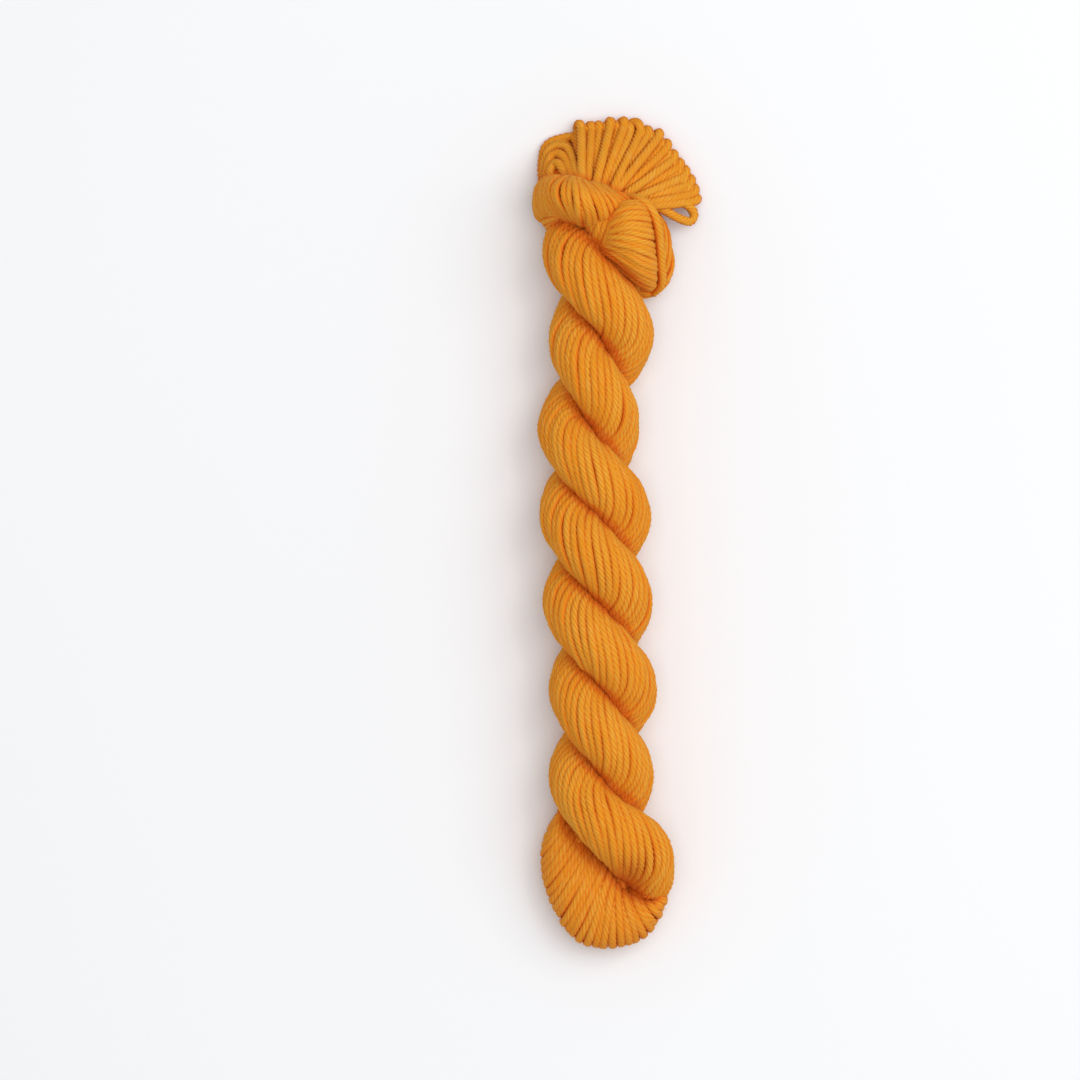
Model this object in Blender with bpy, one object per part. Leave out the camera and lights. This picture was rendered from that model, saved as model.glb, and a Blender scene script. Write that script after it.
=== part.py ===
"""A small hank of wool yarn, lying flat: one skein twisted, doubled on itself and held by its own end loops.

Metres, +Z up. The hank's length runs along Y, with the fan of end loops at +Y and the doubled fold at -Y, and
it lies on the plane Z = 0. The whole hank is one solid, made of two plies that turn round each other, the fold
at their foot, the bundles that wrap the neck, and the ribbed fan of loops above them.
"""

import math

import bmesh
import bpy
import numpy as np

# Driving dimensions, in metres.
LEAD = 0.0525  # length in which the two plies turn once round each other
PLY_ABREAST_AT = 0.0056  # a place along Y where the plies lie side by side
PLY_SHARE = 0.53  # ply radius as a share of the reach from the hank's axis to its outside
SETTLE = 0.0013  # how far the wool flattens where it lies on the surface
TWIST_FROM = 0.0935  # the plies' upper end, hidden in the knot
TWIST_TO = -0.0850  # where the plies leave their helix for the fold
STEPS_A_TURN = 8  # places in one turn of a ply that its smooth course is drawn through
ORIGIN_X = 0.0045  # the middle of the hank's box, in the tables' own X
STATION = 0.0036  # spacing of the sections along a bundle
SIDES = 14  # corners of a round bundle's section
END_RINGS = 3  # sections that round off a bundle's end
RIB_DEPTH = 0.0011  # how deep the valley between two loops of the fan lies
YARN_RADIUS = 0.0013
YARN_SIDES = 8
COLUMNS = ("x", "y", "z", "half_width", "half_thick")

# The twisted body: where the hank's axis lies and how far its outside reaches from it.
BODY_COLUMNS = ("along", "across", "reach")
BODY = (
    (0.1050, 0.0000, 0.0150),
    (0.0843, -0.0013, 0.0171),
    (0.0581, -0.0006, 0.0160),
    (0.0318, -0.0043, 0.0154),
    (0.0056, -0.0024, 0.0170),
    (-0.0207, -0.0017, 0.0167),
    (-0.0470, -0.0002, 0.0164),
    (-0.0732, -0.0006, 0.0160),
    (-0.0995, 0.0009, 0.0162),
)

# The fold: the ply that comes over to the right and dives, the ply that rounds the foot from the left, and the
# turns of yarn that close the crease between them.
RIGHT_LOBE = (
    (0.0090, -0.0945, 0.0194, 0.0087, 0.0087),
    (0.0121, -0.1005, 0.0138, 0.0088, 0.0088),
    (0.0112, -0.1070, 0.0090, 0.0084, 0.0082),
    (0.0060, -0.1110, 0.0078, 0.0070, 0.0068),
)
FOOT_LOBE = (
    (-0.0060, -0.0915, 0.0086, 0.0089, 0.0088),
    (-0.0094, -0.1000, 0.0096, 0.0094, 0.0092),
    (-0.0083, -0.1090, 0.0098, 0.0098, 0.0094),
    (-0.0014, -0.1154, 0.0099, 0.0103, 0.0096),
    (0.0076, -0.1148, 0.0096, 0.0099, 0.0092),
    (0.0134, -0.1082, 0.0086, 0.0088, 0.0080),
)
FOLD_HEART = (
    (0.0026, -0.0930, 0.0134, 0.0044, 0.0054),
    (0.0030, -0.1000, 0.0134, 0.0054, 0.0058),
    (0.0032, -0.1065, 0.0112, 0.0056, 0.0052),
)

# The bundles of the knot, each a row for a section.
NECK = (
    (-0.0010, 0.0800, 0.0150, 0.0075, 0.0075),
    (-0.0002, 0.0900, 0.0155, 0.0082, 0.0078),
    (0.0008, 0.0975, 0.0150, 0.0080, 0.0066),
)
LEFT_WRAP = (
    (0.0100, 0.0862, 0.0170, 0.0050, 0.0050),
    (0.0040, 0.0928, 0.0245, 0.0070, 0.0070),
    (-0.0030, 0.0972, 0.0282, 0.0077, 0.0072),
    (-0.0095, 0.1000, 0.0282, 0.0078, 0.0070),
    (-0.0143, 0.1000, 0.0232, 0.0072, 0.0064),
    (-0.0152, 0.0962, 0.0155, 0.0070, 0.0058),
    (-0.0125, 0.0945, 0.0085, 0.0068, 0.0062),
    (-0.0050, 0.0950, 0.0062, 0.0066, 0.0064),
    (0.0060, 0.0940, 0.0060, 0.0066, 0.0062),
)
RIGHT_WRAP = (
    (-0.0004, 0.0884, 0.0285, 0.0042, 0.0030),
    (0.0034, 0.0880, 0.0303, 0.0086, 0.0036),
    (0.0080, 0.0866, 0.0299, 0.0124, 0.0039),
    (0.0116, 0.0851, 0.0258, 0.0137, 0.0039),
    (0.0129, 0.0844, 0.0190, 0.0132, 0.0039),
    (0.0124, 0.0848, 0.0115, 0.0114, 0.0039),
    (0.0080, 0.0865, 0.0066, 0.0098, 0.0038),
    (-0.0010, 0.0880, 0.0052, 0.0080, 0.0038),
)
BACK_LOBE = (
    (0.0080, 0.0960, 0.0130, 0.0040, 0.0040),
    (0.0138, 0.0930, 0.0115, 0.0044, 0.0044),
    (0.0158, 0.0865, 0.0095, 0.0046, 0.0048),
    (0.0166, 0.0795, 0.0082, 0.0046, 0.0050),
    (0.0136, 0.0748, 0.0082, 0.0044, 0.0046),
    (0.0070, 0.0745, 0.0100, 0.0038, 0.0042),
)

# Two single turns of yarn that stand clear: one slack over the right wrap, one hanging below the fan.
SLACK_TURN = (
    (0.0090, 0.0985, 0.0250),
    (0.0138, 0.0970, 0.0272),
    (0.0165, 0.0925, 0.0262),
    (0.0178, 0.0865, 0.0225),
    (0.0181, 0.0800, 0.0180),
    (0.0175, 0.0738, 0.0128),
    (0.0140, 0.0722, 0.0090),
)
HANGING_LOOP = (
    (0.0080, 0.0982, 0.0150),
    (0.0160, 0.0974, 0.0120),
    (0.0235, 0.0940, 0.0080),
    (0.0283, 0.0938, 0.0062),
    (0.0284, 0.0968, 0.0062),
    (0.0240, 0.1000, 0.0090),
    (0.0150, 0.1012, 0.0132),
)

# The fan: for each loop, where it leaves the knot and where its tip lies.
FAN_COLUMNS = ("root_x", "root_y", "tip_x", "tip_y", "tip_z")
FAN = (
    (-0.0125, 0.1050, -0.0188, 0.1120, 0.0056),
    (-0.0110, 0.1055, -0.0176, 0.1168, 0.0046),
    (-0.0095, 0.1055, -0.0140, 0.1198, 0.0036),
    (-0.0080, 0.1055, -0.0096, 0.1208, 0.0030),
    (-0.0070, 0.1055, -0.0071, 0.1244, 0.0028),
    (-0.0050, 0.1050, -0.0039, 0.1242, 0.0014),
    (-0.0033, 0.1045, -0.0015, 0.1244, 0.0026),
    (-0.0020, 0.1040, 0.0026, 0.1252, 0.0014),
    (0.0000, 0.1035, 0.0067, 0.1252, 0.0014),
    (0.0020, 0.1030, 0.0108, 0.1246, 0.0024),
    (0.0035, 0.1025, 0.0143, 0.1225, 0.0014),
    (0.0045, 0.1020, 0.0179, 0.1214, 0.0014),
    (0.0055, 0.1015, 0.0205, 0.1182, 0.0026),
    (0.0060, 0.1010, 0.0226, 0.1148, 0.0014),
    (0.0065, 0.1005, 0.0245, 0.1122, 0.0014),
    (0.0068, 0.1000, 0.0264, 0.1096, 0.0028),
    (0.0070, 0.0995, 0.0280, 0.1067, 0.0014),
    (0.0070, 0.0990, 0.0293, 0.1038, 0.0026),
    (0.0064, 0.0981, 0.0299, 0.1008, 0.0036),
)
FAN_ROOT_Z = 0.0165
FAN_ROOT_HALF = 0.0062  # half the fan's thickness at its root
FAN_TIP_HALF = 0.0040  # and at its tips


def columns(rows, names):
    """The rows as an array, checked against the names of their columns."""
    table = np.array(rows, float)
    assert table.shape[1] == len(names)
    return table


def through(rows, spacing):
    """Sections on a smooth Catmull-Rom curve through the rows, about one spacing apart."""
    padded = np.vstack([2 * rows[0] - rows[1], rows, 2 * rows[-1] - rows[-2]])
    made = []
    for before, start, end, after in zip(padded, padded[1:], padded[2:], padded[3:]):
        count = max(2, round(np.linalg.norm((end - start)[:3]) / spacing))
        t = np.arange(count)[:, None] / count
        bend = 2 * before - 5 * start + 4 * end - after
        turn = 3 * start - before - 3 * end + after
        made.append(start + 0.5 * (t * (end - before) + t**2 * bend + t**3 * turn))
    return np.vstack([*made, rows[-1:]])


def body_at(along):
    """The hank's axis across the surface, and its reach, at places along Y."""
    fine = through(columns(BODY, BODY_COLUMNS), STATION)
    order = fine[:, 0].argsort()
    return [np.interp(along, fine[order, 0], fine[order, k]) for k in (1, 2)]


def ply(phase, lobe):
    """The sections of one ply, down its left-handed helix and on into its lobe of the fold."""
    turns = (TWIST_FROM - TWIST_TO) / LEAD
    along = np.linspace(TWIST_FROM, TWIST_TO, round(turns * STEPS_A_TURN))
    across, reach = body_at(along)
    angle = 2 * math.pi * (along - PLY_ABREAST_AT) / LEAD + phase
    out = reach * (1 - PLY_SHARE)
    x = across + out * np.cos(angle)
    z = reach - SETTLE + out * np.sin(angle)
    girth = reach * PLY_SHARE
    helix = np.column_stack([x, along, z, girth, girth])
    return through(np.vstack([helix, columns(lobe, COLUMNS)]), STATION)


def frames(path, reference):
    """Unit tangents of a path, and two unit directions across it, the first one nearest to the reference."""
    along = np.gradient(path, axis=0)
    along /= np.linalg.norm(along, axis=1)[:, None]
    wide = reference - along * (along @ reference)[:, None]
    wide /= np.linalg.norm(wide, axis=1)[:, None]
    return along, wide, np.cross(along, wide)


def round_off(sections, along, ends):
    """Adds shrinking sections past each end, so that a bundle closes in a dome."""
    lean = np.linspace(0, math.pi / 2, ends + 2)[1:-1]
    tip = sections[-1:] * np.ones((ends, 1))
    tip[:, :3] += along[-1] * (tip[:, 4] * np.sin(lean))[:, None]
    tip[:, 3:] *= np.cos(lean)[:, None]
    head = sections[:1] * np.ones((ends, 1))
    head[:, :3] -= along[0] * (head[:, 4] * np.sin(lean))[:, None]
    head[:, 3:] *= np.cos(lean)[:, None]
    return np.vstack([head[::-1], sections, tip])


def skin(name, rings, material):
    """A closed mesh object over rings of points, with a flat face over the first ring and the last."""
    bm = bmesh.new()
    middle = np.array([ORIGIN_X, 0, 0])
    loops = [[bm.verts.new(point - middle) for point in ring] for ring in rings]
    for near, far in zip(loops, loops[1:]):
        for k in range(len(near)):
            after = (k + 1) % len(near)
            bm.faces.new((near[k], near[after], far[after], far[k]))
    bm.faces.new(loops[0][::-1])
    bm.faces.new(loops[-1])
    bmesh.ops.triangulate(bm, faces=bm.faces)
    bmesh.ops.recalc_face_normals(bm, faces=bm.faces)
    mesh = bpy.data.meshes.new(name)
    bm.to_mesh(mesh)
    bm.free()
    mesh.materials.append(material)
    mesh.shade_smooth()
    made = bpy.data.objects.new(name, mesh)
    bpy.context.scene.collection.objects.link(made)
    return made


def bundle(name, sections, reference, material, sides=SIDES):
    """A bundle of yarn: an oval section carried along its sections, rounded off at both ends."""
    along = frames(sections[:, :3], reference)[0]
    sections = round_off(sections, along, END_RINGS)
    _, wide, thick = frames(sections[:, :3], reference)
    around = 2 * math.pi * np.arange(sides) / sides
    width = sections[:, 3, None, None] * np.cos(around)[:, None] * wide[:, None]
    depth = sections[:, 4, None, None] * np.sin(around)[:, None] * thick[:, None]
    return skin(name, sections[:, None, :3] + width + depth, material)


def strand(name, points, reference, material):
    """One turn of yarn as a round cord through its points."""
    girth = np.full((len(points), 2), YARN_RADIUS)
    rows = np.hstack([np.array(points, float), girth])
    return bundle(name, through(rows, STATION), reference, material, YARN_SIDES)


def fan_section(row, half_root, half_tip, short):
    """The upright outline of one loop of the fan: from its root along the top to its tip, and back below."""
    root = np.array([row[0], row[1], FAN_ROOT_Z])
    tip = np.array([row[2], row[3], row[4]])
    out = (tip - root) / np.linalg.norm((tip - root)[:2])
    up = np.array([0, 0, 1.0])
    tip = tip - out * short
    shoulder = tip - out * half_tip
    middle = (root + shoulder) / 2 + up * half_tip / 2
    half_middle = (half_root + half_tip) / 2
    return [
        root + up * half_root,
        middle + up * half_middle,
        shoulder + up * half_tip,
        tip + up * half_tip * 0.5,
        tip - up * half_tip * 0.5,
        shoulder - up * half_tip,
        middle - up * half_middle,
        root - up * half_root,
    ]


def fan(name, material):
    """The fan of end loops, a rib for each loop and a valley between each two."""
    table = columns(FAN, FAN_COLUMNS)
    rings = []
    for loop, after in zip(table, table[1:]):
        low_root = FAN_ROOT_HALF - RIB_DEPTH / 2
        rings.append(fan_section(loop, FAN_ROOT_HALF, FAN_TIP_HALF, 0))
        for share, depth in ((0.3, 0.25), (0.5, 1.0), (0.7, 0.25)):
            between = loop + share * (after - loop)
            low = RIB_DEPTH * depth
            rings.append(fan_section(between, low_root, FAN_TIP_HALF - low, low))
    rings.append(fan_section(table[-1], FAN_ROOT_HALF, FAN_TIP_HALF, 0))
    return skin(name, rings, material)


def surface_cutter(material):
    """A block below the plane that the hank lies on, which cuts its flat spots."""
    bpy.ops.mesh.primitive_cube_add(size=0.5, location=(0, 0, -0.25))
    block = bpy.context.object
    block.name = "surface_below"
    block.data.materials.append(material)
    return block


def combine(target, other, operation):
    """Adds a Boolean to the target and turns the other object into a hidden helper."""
    step = target.modifiers.new(f"{operation.lower()}_{other.name}", "BOOLEAN")
    step.operation = operation
    step.solver = "EXACT"
    step.object = other
    other.hide_render = True
    other.display_type = "WIRE"


def wool():
    """Hand-dyed orange wool: matt, with a soft light rim from its loose fibres."""
    material = bpy.data.materials.new("orange_wool")
    material.use_nodes = True
    shader = material.node_tree.nodes["Principled BSDF"]
    shader.inputs["Base Color"].default_value = (0.690, 0.216, 0.015, 1.0)
    shader.inputs["Roughness"].default_value = 0.9
    shader.inputs["Metallic"].default_value = 0.0
    shader.inputs["Sheen Weight"].default_value = 0.3
    return material


def main():
    for old in list(bpy.data.objects):
        bpy.data.objects.remove(old, do_unlink=True)
    material = wool()
    up = np.array([0, 0, 1.0])
    lengthwise = np.array([0, 1.0, 0])
    hank = bundle("hank", ply(0.0, RIGHT_LOBE), up, material)
    others = [bundle("other_ply", ply(math.pi, FOOT_LOBE), up, material)]
    for name, rows, reference in (
        ("fold_heart", FOLD_HEART, lengthwise + up),
        ("neck", NECK, up),
        ("left_wrap", LEFT_WRAP, lengthwise),
        ("right_wrap", RIGHT_WRAP, lengthwise),
        ("back_lobe", BACK_LOBE, up),
    ):
        sections = through(columns(rows, COLUMNS), STATION)
        others.append(bundle(name, sections, reference, material))
    others.append(fan("fan", material))
    others.append(strand("slack_turn", SLACK_TURN, up, material))
    others.append(strand("hanging_loop", HANGING_LOOP, up, material))
    for other in others:
        combine(hank, other, "UNION")
    combine(hank, surface_cutter(material), "DIFFERENCE")


main()
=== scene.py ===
"""Looks for a small twisted hank of orange wool, lying flat and seen from straight above.

The hank is plied knitting yarn, and every turn of it that shows is a surface of its own: a lobed section
carried along the turn's path, turning left-handed as it goes, as the six plies of the yarn do.
The turns lie side by side round the bundles that the CAD model gives, over inner wool that is painted a
deeper colour as shade.
Lengths are in metres.
"""

import math
from collections import namedtuple

import bpy
import numpy as np
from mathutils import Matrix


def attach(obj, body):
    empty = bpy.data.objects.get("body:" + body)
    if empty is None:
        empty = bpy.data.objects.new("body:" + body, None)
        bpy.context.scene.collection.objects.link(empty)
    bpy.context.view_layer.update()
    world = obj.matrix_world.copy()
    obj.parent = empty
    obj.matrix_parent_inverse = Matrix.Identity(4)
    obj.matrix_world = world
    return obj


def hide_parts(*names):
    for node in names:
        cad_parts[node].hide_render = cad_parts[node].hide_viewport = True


SEED = 7
UP = np.array([0, 0, 1.0])
LENGTHWISE = np.array([0, 1.0, 0])

# The photograph's scale and frame.
VIEW_WIDTH = 0.324
VIEW_LEVEL = 0.010  # the height above the surface at which the frame has that width
VIEW_CENTRE = (-0.0234, -0.00225)
LENS = 240
SENSOR = 36

# The yarn, and its radius.
YARN = 0.00139  # in the bundles, where it lies pressed
KNOT_YARN = 0.00112  # in the knot, where it is pulled tight
LOOSE_YARN = 0.00148  # in the fan, where it lies free
PLIES = 6
SECTION = 2 * PLIES  # points round the yarn: a crown and a furrow for each ply
PITCH = 0.0112  # length of one turn of the plies where the yarn is pressed
LOOSE_PITCH = 0.0098  # and where it is free
FURROW = 0.84  # radius in the furrows between the plies, as a share, where it is pressed
LOOSE_FURROW = 0.79  # and where it is free
PRESSED = 0.22  # how much pressed yarn is flattened on its outside, as a share
TIGHTNESS = (0.90, 1.14)  # the twist of a single turn, as a share of what the pitch gives
UNEVEN_TWIST = 0.5  # how far the twist wanders along a turn, in radians
UNEVEN_GIRTH = 0.05  # how much thicker and thinner the yarn gets, as a share
RESTS_AT = 0.92  # the lowest height of a centre line, as a share of the yarn's radius
REST_STEP = 0.00003  # between the flat spots of neighbouring turns, so that no two coincide

# How the turns stray from even spacing: amounts, and the shortest and longest waves in them.
ROUND_WANDER = 0.16  # of the spacing, round a bundle
FOOT_WANDER = 0.17
WRAP_WANDER = 0.20
WOUND_DEPTH = 0.00032
LAID_DEPTH = 0.00022
CROWDED = 1.7  # turns crowd where they lie nearer than this many radii
SINKS_BY = 0.0012  # and then each second one lies up to this much deeper
WANDER_WAVES = (0.020, 0.070)
DEPTH_WAVES = (0.012, 0.040)
TWIST_WAVES = (0.016, 0.045)
GIRTH_WAVES = (0.004, 0.015)

# How finely it is all drawn.
STEP = 0.0009  # between stations along a turn
INNER_STEP = 0.0020  # and along inner wool
BODY_STEP = 0.0036  # and along the table of the body
BENDS = 24  # points to a curve's stretch between two rows
DOME_RINGS = 9
INNER_DOME_RINGS = 3
INNER_SIDES = 16
LEAST_HALF = 0.0003  # the smallest half size of an oval that turns run round
INNER_LEAST_HALF = 0.0002  # and of inner wool
CELL = 0.0010  # of the grid on which the wool is measured
MARGIN_CELLS = 8
BURIED_REACHES = (0.0020, 0.0035, 0.0050, 0.0070)  # how far outward it is measured

# Loose fibres.
FIBRE = 0.00004  # radius: real ones are half of that, too fine to show
FIBRES_A_METRE = 420
FIBRE_LENGTHS = (0.0005, 0.0015)
FIBRE_ROUND = 1.25  # how far round the yarn they stand from its open side, in radians
FIBRE_LEAN = 1.35  # and how far they lean along it
FIBRE_BEND = 0.0007
FIBRE_DROOP = 0.35
FIBRE_TAPER = 0.6
FIBRE_ROOT = 0.9  # where they leave the yarn, as a share of its radius
FIBRE_SKEW = 0.3  # keeps a fibre's sides apart from its own direction
FIBRE_STATIONS = 4
FIBRE_SIDES = 3
OPEN_WOOL = 0.12  # wool that is buried by less than this has loose fibres

# Painted shade: how much deeper some wool counts as buried, which darkens it, and how much more open the
# loose yarn counts as, which lightens the painted shade on its sides.
DIMPLE_SHADE = 0.50
FOOT_SHADE = 0.22
LOOSE_OPEN = 0.34

# Patterns in the wool's colour and surface: the size of one patch or streak.
DYE_PATCH = 1 / 60
STREAK_WIDTH = YARN / 3.7  # fibres along a ply are finer than this, too fine to show
STREAK_LENGTH = 0.0040
FUZZ = 1 / 2800
INNER_STRAND = 0.0025
FIBRE_PATCH = 1 / 300
PAPER_CLOUD = 1 / 3

# The two bundles' twist, as in the CAD model.
LEAD = 0.0525
PLY_ABREAST_AT = 0.0056
PLY_SHARE = 0.53
SETTLE = 0.0013
TWIST_FROM = 0.0935
TWIST_TO = -0.0850
STEPS_A_TURN = 8
ORIGIN_X = 0.0045
BODY_COLUMNS = ("along", "across", "reach")
BODY = (
    (0.1050, 0.0000, 0.0150),
    (0.0843, -0.0013, 0.0171),
    (0.0581, -0.0006, 0.0160),
    (0.0318, -0.0043, 0.0154),
    (0.0056, -0.0024, 0.0170),
    (-0.0207, -0.0017, 0.0167),
    (-0.0470, -0.0002, 0.0164),
    (-0.0732, -0.0006, 0.0160),
    (-0.0995, 0.0009, 0.0162),
)

# Bundles: each row is a section, its middle and its half sizes across and through.
COLUMNS = ("x", "y", "z", "half_width", "half_thick")
RIGHT_LOBE = (
    (0.0094, -0.0942, 0.0194, 0.0090, 0.0104),
    (0.0130, -0.1003, 0.0140, 0.0083, 0.0090),
    (0.0141, -0.1058, 0.0082, 0.0075, 0.0064),
    (0.0072, -0.1105, 0.0068, 0.0064, 0.0056),
)
FOOT_LOBE = (  # the foot's inner wool, which goes on from the left bundle
    (-0.0060, -0.0915, 0.0086, 0.0089, 0.0088),
    (-0.0094, -0.1000, 0.0096, 0.0094, 0.0092),
    (-0.0083, -0.1090, 0.0098, 0.0098, 0.0094),
    (-0.0014, -0.1154, 0.0099, 0.0103, 0.0096),
    (0.0076, -0.1148, 0.0096, 0.0099, 0.0092),
)
FOOT_SECTIONS = 9  # of the left bundle and this lobe that the foot's inner wool takes up
FOOT_ROOT = (  # the left bundle's way into the foot, below the foot's own turns
    (-0.0066, -0.0915, 0.0078, 0.0078, 0.0068),
    (-0.0090, -0.0985, 0.0085, 0.0066, 0.0066),
)
FOLD_HEART = (
    (0.0026, -0.0930, 0.0105, 0.0044, 0.0054),
    (0.0030, -0.1000, 0.0078, 0.0048, 0.0050),
    (0.0036, -0.1065, 0.0068, 0.0046, 0.0046),
)
FOLD_BELOW = (
    (-0.0085, -0.0860, 0.0085, 0.0050, 0.0050),
    (-0.0030, -0.0935, 0.0072, 0.0056, 0.0056),
    (0.0040, -0.1000, 0.0066, 0.0054, 0.0052),
)
NECK = (
    (-0.0010, 0.0800, 0.0150, 0.0075, 0.0075),
    (-0.0002, 0.0900, 0.0155, 0.0082, 0.0078),
    (0.0008, 0.0975, 0.0150, 0.0080, 0.0066),
)
LEFT_WRAP = (
    (0.0100, 0.0862, 0.0170, 0.0050, 0.0050),
    (0.0040, 0.0928, 0.0245, 0.0070, 0.0070),
    (-0.0030, 0.0972, 0.0282, 0.0077, 0.0072),
    (-0.0095, 0.1000, 0.0282, 0.0078, 0.0070),
    (-0.0143, 0.1000, 0.0232, 0.0072, 0.0064),
    (-0.0152, 0.0962, 0.0155, 0.0070, 0.0058),
    (-0.0125, 0.0945, 0.0085, 0.0068, 0.0062),
    (-0.0050, 0.0950, 0.0062, 0.0066, 0.0064),
    (0.0060, 0.0940, 0.0060, 0.0066, 0.0062),
)
RIGHT_WRAP = (
    (0.0012, 0.0882, 0.0240, 0.0040, 0.0030),
    (0.0036, 0.0884, 0.0290, 0.0064, 0.0036),
    (0.0078, 0.0876, 0.0292, 0.0096, 0.0039),
    (0.0112, 0.0864, 0.0250, 0.0110, 0.0039),
    (0.0124, 0.0850, 0.0190, 0.0110, 0.0039),
    (0.0120, 0.0848, 0.0115, 0.0104, 0.0039),
    (0.0080, 0.0865, 0.0066, 0.0094, 0.0038),
    (-0.0010, 0.0880, 0.0052, 0.0080, 0.0038),
)
RIGHT_WRAP_BELOW = (
    (0.0118, 0.0850, 0.0180, 0.0100, 0.0034),
    (0.0116, 0.0848, 0.0115, 0.0104, 0.0037),
    *RIGHT_WRAP[-2:],
)
LEFT_WRAP_BELOW = (
    (-0.0120, 0.0995, 0.0235, 0.0050, 0.0045),
    (-0.0140, 0.0975, 0.0160, 0.0058, 0.0048),
    (-0.0125, 0.0950, 0.0088, 0.0066, 0.0060),
    *LEFT_WRAP[-2:],
)
BACK_LOBE = (
    (0.0080, 0.0960, 0.0130, 0.0040, 0.0040),
    (0.0138, 0.0930, 0.0115, 0.0044, 0.0044),
    (0.0158, 0.0865, 0.0095, 0.0046, 0.0048),
    (0.0166, 0.0795, 0.0082, 0.0046, 0.0050),
    (0.0136, 0.0748, 0.0082, 0.0044, 0.0046),
    (0.0070, 0.0745, 0.0100, 0.0038, 0.0042),
)

# How each bundle is wound: the direction that its sections' width is nearest to, its turns of yarn that
# show, how far they twist round it, in radians a metre, and their yarn.
PLY_TURNS = 19
PLY_TWIST = 125
WINDING = (
    ("fold_heart", FOLD_HEART, LENGTHWISE + UP, 11, 60, YARN),
    ("fold_below", FOLD_BELOW, UP, 12, 60, YARN),
    ("neck", NECK, UP, 18, 120, YARN),
    ("left_wrap_low", LEFT_WRAP_BELOW, LENGTHWISE, 16, 110, KNOT_YARN),
    ("right_wrap_low", RIGHT_WRAP_BELOW, LENGTHWISE, 26, 0, KNOT_YARN),
    ("back_lobe", BACK_LOBE, UP, 10, 110, KNOT_YARN),
)

# The dimple where the right bundle is drawn into the fold.
DIMPLE = np.array([0.0068, -0.1044, 0.0])
DIMPLE_SPREAD = 0.0060
DIMPLE_DEPTH = 0.0090
DIMPLE_PULL = 0.28
DIMPLE_BUNDLES = ("right_ply", "fold_heart")  # given painted shade there, deeper in tone

# The turns of the foot come out of the crease below the right bundle and fold over the hank's lower edge.
# Each row is an upright oval: where it meets the edge, the height of its middle, where it leaves the crease,
# and half its height.
FOOT_TURNS = 33
FOOT_COLUMNS = ("edge_x", "edge_y", "middle_z", "crease_x", "crease_y", "half_z")
FOOT = (
    (-0.0142, -0.0864, 0.0072, -0.0096, -0.0810, 0.0050),
    (-0.0168, -0.0910, 0.0080, -0.0105, -0.0822, 0.0068),
    (-0.0184, -0.0976, 0.0088, -0.0095, -0.0848, 0.0080),
    (-0.0178, -0.1054, 0.0093, -0.0065, -0.0884, 0.0086),
    (-0.0155, -0.1118, 0.0096, -0.0032, -0.0920, 0.0088),
    (-0.0119, -0.1186, 0.0097, 0.0001, -0.0953, 0.0089),
    (-0.0068, -0.1236, 0.0097, 0.0024, -0.0984, 0.0089),
    (-0.0008, -0.1250, 0.0098, 0.0030, -0.1016, 0.0089),
    (0.0046, -0.1250, 0.0098, 0.0037, -0.1040, 0.0088),
    (0.0096, -0.1236, 0.0096, 0.0051, -0.1062, 0.0087),
    (0.0138, -0.1210, 0.0094, 0.0076, -0.1080, 0.0085),
    (0.0166, -0.1172, 0.0091, 0.0103, -0.1096, 0.0081),
    (0.0184, -0.1140, 0.0087, 0.0128, -0.1103, 0.0075),
    (0.0196, -0.1106, 0.0078, 0.0150, -0.1092, 0.0064),
    (0.0198, -0.1070, 0.0064, 0.0163, -0.1062, 0.0050),
)
FOOT_ROUND = (-25, 300)  # degrees along the oval: 0 in the crease, 90 on top, 180 on the edge
LAID_STATIONS = 75

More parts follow.
